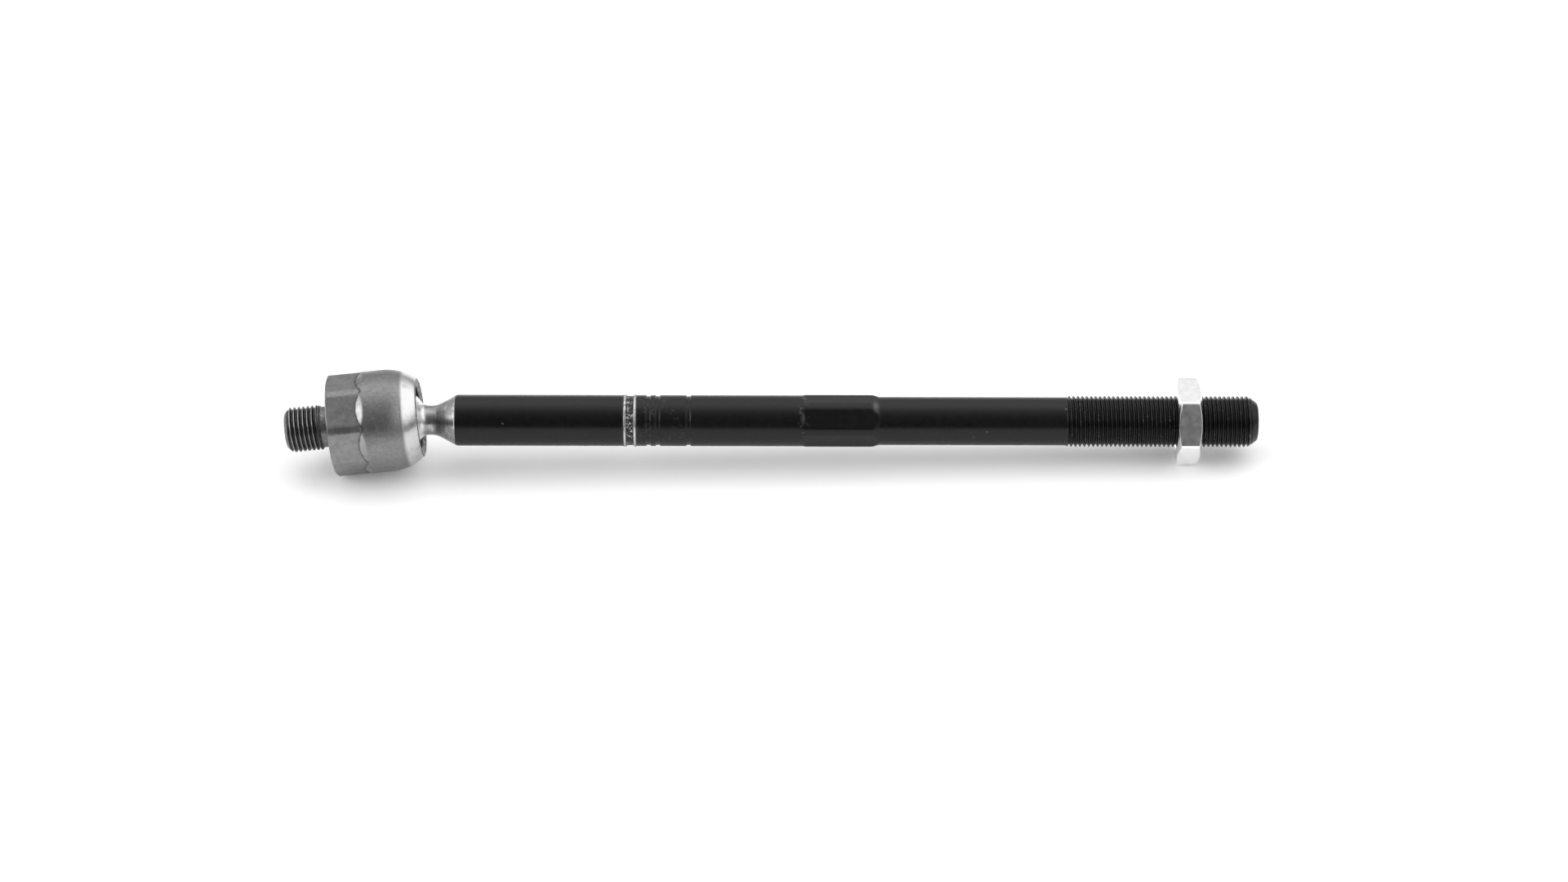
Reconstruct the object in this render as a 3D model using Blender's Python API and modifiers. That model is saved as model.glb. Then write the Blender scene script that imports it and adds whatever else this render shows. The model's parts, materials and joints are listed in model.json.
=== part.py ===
"""Inner tie rod: a steering ball joint with its rod and jam nut, lying as it comes to rest.

It rests on the lower rear edge of the socket and on one side of the jam nut. +X runs towards the outer
end of the rod, +Z is up, and the origin is under the middle of the part. Turned pieces are modelled with
their own axis on local Z and are laid down by the empties that carry them.
"""
import math

import bpy

mm = 0.001
running_gap = 0.3 * mm
cut_margin = 1.0 * mm
join_distance = 0.01 * mm
axis_mark_size = 10.0 * mm
smooth_limit = math.radians(30.0)
facets_round_socket = 64
facets_round_rod = 48

# Ball, neck and cone, in one piece with the rod
ball_diameter = 24.0 * mm
neck_diameter = 10.4 * mm
neck_fillet = 1.2 * mm
neck_length = 2.9 * mm
cone_blend_radius = 5.5 * mm
cone_angle = math.radians(28.3)
coat_edge = 0.35 * mm

# Bearings between the ball and the socket. Angles are counted from the socket's axis at the mouth
bearing_wall = 2.0 * mm
bearing_behind_throat = math.radians(1.0)
bearing_front_bevel = math.radians(5.0)
bearing_rear_angle = math.radians(98.0)
ball_seat_half_angle = math.radians(40.0)

# Socket. Its hollow goes round the bearings, and its rim is rolled in over them
socket_wall = 3.4 * mm
socket_floor = 6.7 * mm
throat_overlap = 3.1 * mm
mouth_flare_width = 2.1 * mm
mouth_flare_length = 1.2 * mm
mouth_edge = 0.3 * mm
dome_start_behind_ball = 2.0 * mm
rolled_rim_length = 5.3 * mm
rolled_rim_step = 0.08 * mm

# Corners of a sided shape, as shares of half a side from its middle: one flat side or a bulged one
flat_side = (-1.0,)
bulged_side = (-0.75, -0.25, 0.25, 0.75)

# Wrench flats, which run out towards the mouth in scallops. Bulge 0 gives flat ramps and 1 a cone
wrench_sides = 8
wrench_flat_depth = 1.0 * mm
wrench_corner_depth = 0.1 * mm
wrench_length = 10.65 * mm
wrench_run_out = 2.65 * mm
run_out_bulge = 0.62
shoulder_chamfer_length = 0.5 * mm
shoulder_chamfer_depth = 1.1 * mm

# Rack stud, the male thread behind the socket (M16 x 1.5, drawn here at its outside diameter)
stud_diameter = 16.0 * mm
stud_length = 12.2 * mm
stud_chamfer = 1.9 * mm
relief_depth = 0.8 * mm
relief_length = 4.1 * mm

# Rod, from the cone outwards. Each length starts where the one before it ends
rod_diameter = 18.0 * mm
inner_rod_length = 58.25 * mm
band_length = 4.3 * mm
band_ridge_width = 0.8 * mm
band_ridge_height = 0.25 * mm
band_depth = 0.3 * mm
band_to_grooves = (4.35 * mm, 7.65 * mm, 18.45 * mm)
groove_width = 1.7 * mm
groove_floor_width = 1.0 * mm
groove_depth = 0.5 * mm
band_to_grip = 59.45 * mm
grip_sides = 6
grip_flat_depth = 0.5 * mm
grip_corner_rise = 0.15 * mm
grip_length = 25.5 * mm
grip_run_out = 2.0 * mm
grip_to_shank = 0.6 * mm
shank_step_depth = 0.5 * mm
grip_taper_length = 2.3 * mm
shank_length = 65.8 * mm

# Outer thread (M18 x 1.5, drawn here at its outside diameter) and its tip
thread_diameter = 18.0 * mm
thread_length = 67.45 * mm
thread_lead_in = 0.8 * mm
tip_inset = 2.0 * mm
tip_chamfer = 3.3 * mm
tip_edge = 0.5 * mm

# Jam nut
nut_sides = 6
nut_wall = 4.2 * mm
nut_thickness = 8.5 * mm
nut_to_rod_end = 20.35 * mm
nut_face_inset = 0.65 * mm
nut_chamfer_angle = math.radians(24.0)
nut_countersink = 0.7 * mm

# How it lies: the socket is swung in its ball joint against the rod, and each hexagon has its own turn
socket_rise = math.radians(4.2)
socket_yaw = math.radians(2.5)
wrench_turn = math.radians(-6.2)
grip_turn = math.radians(-10.2)

# Radii that follow from the sizes above
ball_radius = ball_diameter / 2
neck_radius = neck_diameter / 2
rod_radius = rod_diameter / 2
bearing_inside = ball_radius + running_gap
bearing_outside = bearing_inside + bearing_wall
cavity_radius = bearing_outside + running_gap
socket_radius = cavity_radius + socket_wall
throat_radius = cavity_radius - throat_overlap
mouth_radius = throat_radius + mouth_flare_width
wrench_radius = socket_radius - wrench_flat_depth
wrench_corner_radius = socket_radius - wrench_corner_depth
grip_radius = rod_radius - grip_flat_depth
grip_corner_radius = rod_radius + grip_corner_rise
thread_radius = thread_diameter / 2
tip_radius = thread_radius - tip_inset
nut_bore_radius = thread_radius + running_gap
nut_radius = nut_bore_radius + nut_wall
nut_face_radius = nut_radius - nut_face_inset
cone_foot_radius = neck_radius + cone_blend_radius * (1 - math.cos(cone_angle))
coat_start_radius = rod_radius - coat_edge

# Distances from the centre of the ball, along the socket's axis and along the rod's
throat_angle = math.asin(throat_radius / cavity_radius)
mouth_to_ball = cavity_radius * math.cos(throat_angle) + mouth_flare_length
shoulder_to_ball = cavity_radius + socket_floor
stud_end_to_ball = shoulder_to_ball + relief_length + stud_length
neck_to_ball = ball_radius + neck_length
cone_foot_to_ball = neck_to_ball + cone_blend_radius * math.sin(cone_angle)
coat_to_ball = cone_foot_to_ball + (coat_start_radius - cone_foot_radius) / math.tan(cone_angle)
band_to_ball = coat_to_ball + 2 * coat_edge + inner_rod_length
band_end_to_ball = band_to_ball + band_length
grip_to_ball = band_end_to_ball + band_to_grip
grip_end_to_ball = grip_to_ball + grip_length
shank_to_ball = grip_end_to_ball + grip_to_shank
thread_to_ball = shank_to_ball + shank_length
rod_end_to_ball = thread_to_ball + thread_length
nut_to_ball = rod_end_to_ball - nut_to_rod_end - nut_thickness


def arc(centre, radius, first_angle, last_angle, steps):
    """Points (radius, height) on an arc. Angles are counted from local Z, so 0 is the top."""
    turn = (last_angle - first_angle) / steps
    angles = [first_angle + turn * step for step in range(steps + 1)]
    return [(centre[0] + radius * math.sin(angle), centre[1] + radius * math.cos(angle)) for angle in angles]


def turned(name, profile, facets, closed=False):
    """A solid turned about local Z from (radius, height) points, which run down its outer side."""
    count = len(profile)
    edges = [(index, index + 1) for index in range(count - 1)]
    if closed:
        edges.append((count - 1, 0))
    mesh = bpy.data.meshes.new(name)
    mesh.from_pydata([(radius, 0.0, height) for radius, height in profile], edges, [])
    piece = bpy.data.objects.new(name, mesh)
    turn = piece.modifiers.new("Turn", "SCREW")
    turn.axis = "Z"
    turn.steps = facets
    turn.render_steps = facets
    turn.use_merge_vertices = True
    turn.merge_threshold = join_distance
    return piece


def many_sided(name, sides, rings, side_corners=flat_side, bulge=0.0):
    """A solid with equal sides about local Z, the middle of the first one towards local X.

    Each ring, from the bottom up, is (height, distance from the axis to the middle of a side). Bulge 0 keeps
    the sides flat and 1 makes them round.
    """
    half_side = math.pi / sides
    outline = []
    for side in range(sides):
        for share in side_corners:
            offset = half_side * share
            angle = 2 * half_side * side + offset
            reach = bulge + (1 - bulge) / math.cos(offset)
            outline.append((reach * math.cos(angle), reach * math.sin(angle)))
    count = len(outline)
    points = [(x * distance, y * distance, height) for height, distance in rings for x, y in outline]
    faces = [tuple(reversed(range(count))), tuple(range(len(points) - count, len(points)))]
    for first in range(0, len(points) - count, count):
        for index in range(count):
            following = (index + 1) % count
            faces.append((first + index, first + following, first + count + following, first + count + index))
    mesh = bpy.data.meshes.new(name)
    mesh.from_pydata(points, [], faces)
    return bpy.data.objects.new(name, mesh)


def lay_on(piece, collection, carrier, turn_about_axis=0.0, along_axis=0.0):
    """Puts a piece in its collection and on the empty whose local Z is its axis."""
    collection.objects.link(piece)
    piece.parent = carrier
    piece.location = (0.0, 0.0, along_axis)
    piece.rotation_euler = (0.0, 0.0, turn_about_axis)


def make_cutter(cutter, carrier, turn_about_axis=0.0, along_axis=0.0):
    lay_on(cutter, cutters, carrier, turn_about_axis, along_axis)
    cutter.hide_render = True
    cutter.display_type = "WIRE"


def boolean(piece, other, operation):
    step = piece.modifiers.new(other.name, "BOOLEAN")
    step.operation = operation
    step.solver = "EXACT"
    step.object = other


def side_flats(piece, carrier, sides, turn, flat_radius, body_radius, ends, run_out):
    """Cuts flats round a turned piece between two heights, the ends.

    At a run-out the flat climbs to the round body on a ramp that bulges a little, so the ramp meets the flat
    and the body in two arcs, like a lens. Run_out is the ramp's length at each end, with 0 for an open end.
    """
    slopes = [length / (body_radius - flat_radius) for length in run_out]
    near = flat_radius - cut_margin
    outside = body_radius + cut_margin
    beyond = outside + cut_margin
    outward = (-1, 1)
    bottom, top = [
        end + way * max((beyond - flat_radius) * slope, cut_margin)
        for end, way, slope in zip(ends, outward, slopes)
    ]
    waste = turned(piece.name + "_flats_waste",
                   [(0.0, top), (outside, top), (outside, bottom), (0.0, bottom)], facets_round_socket)
    keepers = [many_sided(piece.name + "_flats_core", sides,
                          [(bottom - cut_margin, flat_radius), (top + cut_margin, flat_radius)])]
    for end, way, slope in zip(ends, outward, slopes):
        if slope:
            rings = [
                (end + way * (distance - flat_radius) * slope, distance)
                for distance in (near, beyond + cut_margin)
            ]
            keepers.append(many_sided(piece.name + "_flats_ramp", sides, sorted(rings), bulged_side,
                                      run_out_bulge))
    make_cutter(waste, carrier, turn + math.pi / facets_round_socket)
    for keeper in keepers:
        make_cutter(keeper, carrier, turn)
        boolean(waste, keeper, "DIFFERENCE")
    boolean(piece, waste, "DIFFERENCE")


def settle(piece, material, *other_materials):
    """Turns the modifiers into a plain mesh, smooth on its round sides and sharp at its edges."""
    bpy.context.view_layer.update()
    graph = bpy.context.evaluated_depsgraph_get()
    mesh = bpy.data.meshes.new_from_object(piece.evaluated_get(graph))
    piece.modifiers.clear()
    piece.data = mesh
    mesh.name = piece.name
    mesh.shade_smooth()
    mesh.set_sharp_from_angle(angle=smooth_limit)
    mesh.materials.clear()
    for finish in (material, *other_materials):
        mesh.materials.append(finish)


def make_material(name, colour, metallic, roughness):
    material = bpy.data.materials.new(name)
    material.use_nodes = True
    shader = material.node_tree.nodes["Principled BSDF"]
    shader.inputs["Base Color"].default_value = (*colour, 1.0)
    shader.inputs["Metallic"].default_value = metallic
    shader.inputs["Roughness"].default_value = roughness
    return material


def make_empty(name, parent, location, rotation):
    empty = bpy.data.objects.new(name, None)
    empty.empty_display_size = axis_mark_size
    empty.parent = parent
    empty.location = location
    empty.rotation_euler = rotation
    parts.objects.link(empty)
    return empty


def lying_place():
    """The ball's centre and the rod's drop, with the socket's rear edge and the nut's side at height 0."""
    half_side = math.acos(wrench_radius / wrench_corner_radius)
    lowest_corner = max(0.0, half_side - abs(wrench_turn))
    reach_down = wrench_corner_radius * math.cos(lowest_corner)
    edge_to_ball = shoulder_to_ball - shoulder_chamfer_length
    height = reach_down * math.cos(socket_rise) + edge_to_ball * math.sin(socket_rise)
    nut_edge_to_ball = nut_to_ball + nut_thickness - nut_face_inset * math.tan(nut_chamfer_angle)
    steepest = math.atan2(nut_radius, nut_edge_to_ball)
    drop = math.asin(height / math.hypot(nut_edge_to_ball, nut_radius)) - steepest
    inner_end = stud_end_to_ball * math.cos(socket_rise) * math.cos(socket_yaw)
    inner_end += (stud_diameter / 2 - stud_chamfer) * math.sin(socket_rise)
    outer_end = rod_end_to_ball * math.cos(drop) + tip_radius * math.sin(drop)
    return ((inner_end - outer_end) / 2, 0.0, height), drop


def build_socket_housing():
    """Forged socket and rack stud. The profile runs up the cavity, over the rolled lip and down outside."""
    dome_length = mouth_to_ball + dome_start_behind_ball
    dome_fall = socket_radius - mouth_radius
    dome_radius = (dome_length**2 + dome_fall**2) / (2 * dome_fall)
    dome_centre = (socket_radius - dome_radius, -dome_start_behind_ball)
    lip_angle = math.acos((dome_length - mouth_edge) / dome_radius)
    rim_angle = math.acos((dome_length - rolled_rim_length) / dome_radius)
    lip_slope = mouth_flare_length / mouth_flare_width
    flats_end = wrench_length - shoulder_to_ball

    cavity = arc((0.0, 0.0), cavity_radius, math.pi, throat_angle, 16)
    cavity[0] = (0.0, -cavity_radius)
    lip = [
        (mouth_radius - 2 * mouth_edge, mouth_to_ball - 2 * mouth_edge * lip_slope),
        (mouth_radius - mouth_edge, mouth_to_ball),
    ]
    rolled_rim = arc(dome_centre, dome_radius, lip_angle, rim_angle, 5)
    raised = dome_radius + rolled_rim_step
    dome = arc(dome_centre, raised, rim_angle + rolled_rim_step / dome_radius, math.pi / 2, 3)
    dome = [(min(radius, socket_radius), height) for radius, height in dome]
    corner_end = flats_end + wrench_run_out / 2
    rear = [
        (socket_radius, corner_end + wrench_corner_depth),
        (wrench_corner_radius, corner_end),
        (wrench_corner_radius, shoulder_chamfer_length - shoulder_to_ball),
        (wrench_corner_radius - shoulder_chamfer_depth, -shoulder_to_ball),
    ]
    stud_radius = stud_diameter / 2
    relief_radius = stud_radius - relief_depth
    thread_start = -shoulder_to_ball - relief_length
    stud = [
        (relief_radius, -shoulder_to_ball),
        (relief_radius, thread_start + relief_depth),
        (stud_radius, thread_start),
        (stud_radius, stud_chamfer - stud_end_to_ball),
        (stud_radius - stud_chamfer, -stud_end_to_ball),
        (0.0, -stud_end_to_ball),
    ]
    profile = cavity + lip + rolled_rim + dome + rear + stud
    housing = turned("socket_housing", profile, facets_round_socket)
    lay_on(housing, parts, socket_axis, wrench_turn + math.pi / facets_round_socket)
    side_flats(housing, socket_axis, wrench_sides, wrench_turn, wrench_radius, socket_radius,
               ends=(-shoulder_to_ball, flats_end), run_out=(0.0, wrench_run_out))
    settle(housing, make_material("forged_steel", (0.26, 0.26, 0.25), 1.0, 0.42))


def build_bearing_ring():
    """Moulded ring between the ball and the socket, from behind its middle to inside the mouth."""
    front_angle = throat_angle + bearing_behind_throat
    outside = arc((0.0, 0.0), bearing_outside, front_angle, bearing_rear_angle, 6)
    inside = arc((0.0, 0.0), bearing_inside, bearing_rear_angle, front_angle + bearing_front_bevel, 6)
    ring = turned("bearing_ring", outside + inside, facets_round_rod, closed=True)
    lay_on(ring, parts, socket_axis)
    settle(ring, make_material("moulded_bearing_plastic", (0.62, 0.60, 0.55), 0.0, 0.45))


def build_ball_seat():
    """Cup behind the ball. Its back follows the bottom of the socket."""
    rim_angle = math.pi - ball_seat_half_angle
    inside = arc((0.0, 0.0), bearing_inside, math.pi, rim_angle, 6)
    outside = arc((0.0, 0.0), bearing_outside, rim_angle, math.pi, 6)
    inside[0] = (0.0, -bearing_inside)
    outside[-1] = (0.0, -bearing_outside)
    seat = turned("ball_seat", inside + outside, facets_round_rod)
    lay_on(seat, parts, socket_axis)
    settle(seat, make_material("moulded_seat_plastic", (0.55, 0.55, 0.52), 0.0, 0.5))


def ball_and_neck():
    """From the coat's edge down the cone and neck, round the fillet and over the ball."""
    sideways = math.pi * 1.5
    blend_centre = (neck_radius + cone_blend_radius, neck_to_ball)
    blend = arc(blend_centre, cone_blend_radius, sideways + cone_angle, sideways, 4)
    fillet_radius = neck_radius + neck_fillet
    fillet_height = math.sqrt((ball_radius + neck_fillet) ** 2 - fillet_radius**2)
    touch_angle = math.atan2(fillet_radius, fillet_height)
    fillet = arc((fillet_radius, fillet_height), neck_fillet, sideways, math.pi + touch_angle, 3)
    ball = arc((0.0, 0.0), ball_radius, touch_angle, math.pi, 15)[1:-1]
    coat_end = [(rod_radius, coat_to_ball + 2 * coat_edge), (coat_start_radius, coat_to_ball)]
    return coat_end + blend + fillet + ball + [(0.0, -ball_radius)]


def band_and_grooves():
    """The three turned grooves and the marked band between its two ridges, from the outer end inwards."""
    profile = []
    for offset in sorted(band_to_grooves, reverse=True):
        centre = band_end_to_ball + offset
        profile += [
            (rod_radius, centre + groove_width / 2),
            (rod_radius - groove_depth, centre + groove_floor_width / 2),
            (rod_radius - groove_depth, centre - groove_floor_width / 2),
            (rod_radius, centre - groove_width / 2),
        ]
    ridge_radius = rod_radius + band_ridge_height
    floor_radius = rod_radius - band_depth
    return profile + [
        (rod_radius, band_end_to_ball + band_ridge_height),
        (ridge_radius, band_end_to_ball),
        (ridge_radius, band_end_to_ball - band_ridge_width),
        (floor_radius, band_end_to_ball - band_ridge_width - band_depth),
        (floor_radius, band_to_ball + band_ridge_width + band_depth),
        (ridge_radius, band_to_ball + band_ridge_width),
        (ridge_radius, band_to_ball),
        (rod_radius, band_to_ball - band_ridge_height),
    ]


def build_tie_rod():
    """Ball, neck, coated rod, marked band, grooves, spanner grip, shank and thread as one forging."""
    shank_radius = thread_radius - shank_step_depth
    thread_and_shank = [
        (0.0, rod_end_to_ball),
        (tip_radius - tip_edge, rod_end_to_ball),
        (tip_radius, rod_end_to_ball - tip_edge),
        (thread_radius, rod_end_to_ball - tip_chamfer),
        (thread_radius, thread_to_ball + thread_lead_in),
        (shank_radius, thread_to_ball),
        (shank_radius, shank_to_ball),
    ]
    grip = [
        (grip_corner_radius, shank_to_ball - grip_taper_length),
        (grip_corner_radius, grip_to_ball),
        (rod_radius, grip_to_ball - 2 * grip_corner_rise),
    ]
    profile = thread_and_shank + grip + band_and_grooves() + ball_and_neck()
    rod = turned("tie_rod", profile, facets_round_rod)
    lay_on(rod, parts, rod_axis, grip_turn + math.pi / facets_round_rod)
    side_flats(rod, rod_axis, grip_sides, grip_turn, grip_radius, grip_corner_radius,
               ends=(grip_to_ball, grip_end_to_ball), run_out=(grip_run_out, grip_run_out))
    settle(rod, make_material("black_coated_steel", (0.012, 0.012, 0.012), 0.0, 0.34),
           make_material("turned_bare_steel", (0.46, 0.46, 0.45), 1.0, 0.28))
    for face in rod.data.polygons:
        face.material_index = int(face.center.z < coat_to_ball)


def build_jam_nut():
    """A hexagon cut from a turned ring, which carries the chamfers and the countersinks."""
    ring_radius = nut_radius / math.cos(math.pi / nut_sides) + cut_margin
    chamfer = (ring_radius - nut_face_radius) * math.tan(nut_chamfer_angle)
    countersink_radius = nut_bore_radius + nut_countersink
    profile = [
        (countersink_radius, nut_thickness),
        (nut_face_radius, nut_thickness),
        (ring_radius, nut_thickness - chamfer),
        (ring_radius, chamfer),
        (nut_face_radius, 0.0),
        (countersink_radius, 0.0),
        (nut_bore_radius, nut_countersink),
        (nut_bore_radius, nut_thickness - nut_countersink),
    ]
    nut = turned("jam_nut", profile, facets_round_rod, closed=True)
    lay_on(nut, parts, rod_axis, along_axis=nut_to_ball)
    hexagon = many_sided("jam_nut_hexagon", nut_sides,
                         [(-cut_margin, nut_radius), (nut_thickness + cut_margin, nut_radius)])
    make_cutter(hexagon, rod_axis, along_axis=nut_to_ball)
    boolean(nut, hexagon, "INTERSECT")
    settle(nut, make_material("bright_zinc_plate", (0.72, 0.73, 0.74), 1.0, 0.22))


for leftover in list(bpy.data.objects):
    bpy.data.objects.remove(leftover, do_unlink=True)

parts = bpy.data.collections.new("inner_tie_rod")
cutters = bpy.data.collections.new("inner_tie_rod_cutters")
bpy.context.scene.collection.children.link(parts)
bpy.context.scene.collection.children.link(cutters)

ball_place, rod_drop = lying_place()
quarter_turn = math.pi / 2
ball_centre = make_empty("ball_centre", None, ball_place, (0.0, 0.0, 0.0))
socket_axis = make_empty("socket_axis", ball_centre, (0.0, 0.0, 0.0),
                         (0.0, quarter_turn - socket_rise, socket_yaw))
rod_axis = make_empty("rod_axis", ball_centre, (0.0, 0.0, 0.0), (0.0, quarter_turn + rod_drop, 0.0))

build_socket_housing()
build_bearing_ring()
build_ball_seat()
build_tie_rod()
build_jam_nut()
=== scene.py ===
import json
import math

import bpy
import numpy as np
from mathutils import Matrix


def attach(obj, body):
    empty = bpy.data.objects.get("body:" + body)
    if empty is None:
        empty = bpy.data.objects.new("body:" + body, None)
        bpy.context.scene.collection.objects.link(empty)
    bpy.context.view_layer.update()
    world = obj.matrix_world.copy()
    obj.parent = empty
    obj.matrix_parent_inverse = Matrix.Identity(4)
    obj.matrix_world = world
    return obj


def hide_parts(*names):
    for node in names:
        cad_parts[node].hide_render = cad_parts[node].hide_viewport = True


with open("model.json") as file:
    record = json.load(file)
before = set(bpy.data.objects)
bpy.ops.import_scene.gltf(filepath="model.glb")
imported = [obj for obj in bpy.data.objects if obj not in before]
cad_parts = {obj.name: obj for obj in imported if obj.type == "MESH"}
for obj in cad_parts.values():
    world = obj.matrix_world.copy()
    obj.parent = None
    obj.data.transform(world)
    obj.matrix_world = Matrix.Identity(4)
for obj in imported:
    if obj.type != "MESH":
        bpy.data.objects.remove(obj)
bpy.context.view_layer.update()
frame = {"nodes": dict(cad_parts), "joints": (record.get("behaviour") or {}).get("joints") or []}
print("frame loaded:", ", ".join(sorted(frame["nodes"])))

mm = 0.001
joints = {joint["name"]: joint for joint in frame["joints"]}
ballCentre = np.array(joints["swing_direction"]["pos_m"])
rounding = {"rows": 5, "guard": 0.08}  # rows in a rounded corner, and mm from its ends to the guard points


# Straight down across the axis, the direction at a right angle to it, and the axis itself, as three rows.
def axisFrame(axis):
    along = np.array(axis) / np.linalg.norm(axis)
    down = np.array([0.0, 0.0, -1.0])
    down -= down.dot(along) * along
    down /= np.linalg.norm(down)
    return np.array([down, np.cross(along, down), along])


socketAxes = axisFrame(joints["swing_direction"]["axis"])
rodAxes = axisFrame(joints["rod_spin"]["axis"])


# The smaller of two values, with the corner between them eased over a width in the same unit.
def softMin(first, second, ease):
    share = np.maximum(ease - np.abs(first - second), 0.0) / ease
    return np.minimum(first, second) - share**2 * ease / 4


# The larger of two values, eased in the same way.
def softMax(first, second, ease):
    return -softMin(-np.asarray(first), -np.asarray(second), ease)


# 0 before the start, 1 after the end, and 3t^2 - 2t^3 in between.
def smoothStep(value, start, end):
    share = np.clip((value - start) / (end - start), 0.0, 1.0)
    return share * share * (3 - 2 * share)


# A profile through (station, radius, corner size) points in mm. Each corner is a parabola that touches both
# lines at its size from the corner. A guard point just before it and one just after it keep the shading of the
# long faces flat, and no step along the profile is longer than the one given.
def profile(points, step):
    spots = np.array([point[:2] for point in points], float)
    path = [spots[:1]]
    for index in range(1, len(spots) - 1):
        before, here, after = spots[index - 1:index + 2]
        lengths = np.linalg.norm([before - here, after - here], axis=1)
        toBefore, toAfter = (before - here) / lengths[0], (after - here) / lengths[1]
        size = min(points[index][2], lengths.min() / 2.01)  # so that two corners never meet
        guards = np.minimum(size + rounding["guard"], lengths / 2)
        share = np.linspace(0, 1, rounding["rows"])[:, None]
        curve = here + ((1 - share) ** 2 * toBefore + share**2 * toAfter) * size
        path += [[here + guards[0] * toBefore], curve, [here + guards[1] * toAfter]]
    path.append(spots[-1:])
    path = np.concatenate(path)
    apart = np.linalg.norm(np.diff(path, axis=0), axis=1) > 0.001  # closer points are one
    path = path[np.r_[True, apart]]
    rows = [path[:1]]
    for first, second in zip(path[:-1], path[1:]):
        count = max(1, math.ceil(np.linalg.norm(second - first) / step - 1e-6))
        rows.append(first + (second - first) * np.linspace(0, 1, count + 1)[1:, None])
    return np.concatenate(rows)


# Distance from the axis to one of many equal sides, whose middle is turned by an angle from straight down:
# the middle's distance over the cosine of the angle from it. Bulge 1 makes the sides round.
def sidedRadius(angle, sides, turn, middle, bulge=0.0):
    half = math.pi / sides
    offset = (angle - turn + half) % (2 * half) - half
    return middle * (bulge + (1 - bulge) / np.cos(offset))


# Height of a rolled thread's ridge, 0 in the root and 1 on the crest. It depends only on the station over the
# pitch less the share of a turn, plus the start, so that the ridge is a right-handed helix.
def threadHeight(station, angle, pitch, start):
    fromCrest = np.abs((station / pitch - angle / (2 * math.pi) + start) % 1.0 - 0.5)
    return smoothStep(fromCrest, 0.42, 0.04)  # shares of the pitch: the root's edge and the crest's


# The points of one block of rows: the ball's centre, plus the radius in the direction of each angle, plus the
# station along the axis. Station and radius are in mm, with one row for each profile point.
def ringPoints(station, radius, columns, axes):
    angle = np.arange(columns) * 2 * math.pi / columns
    radius = np.broadcast_to(radius, (len(station), columns)) * mm
    along = np.broadcast_to(np.asarray(station, float)[:, None], radius.shape) * mm
    outward = np.cos(angle)[:, None] * axes[0] + np.sin(angle)[:, None] * axes[1]
    return ballCentre + radius[..., None] * outward + along[..., None] * axes[2]


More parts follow.
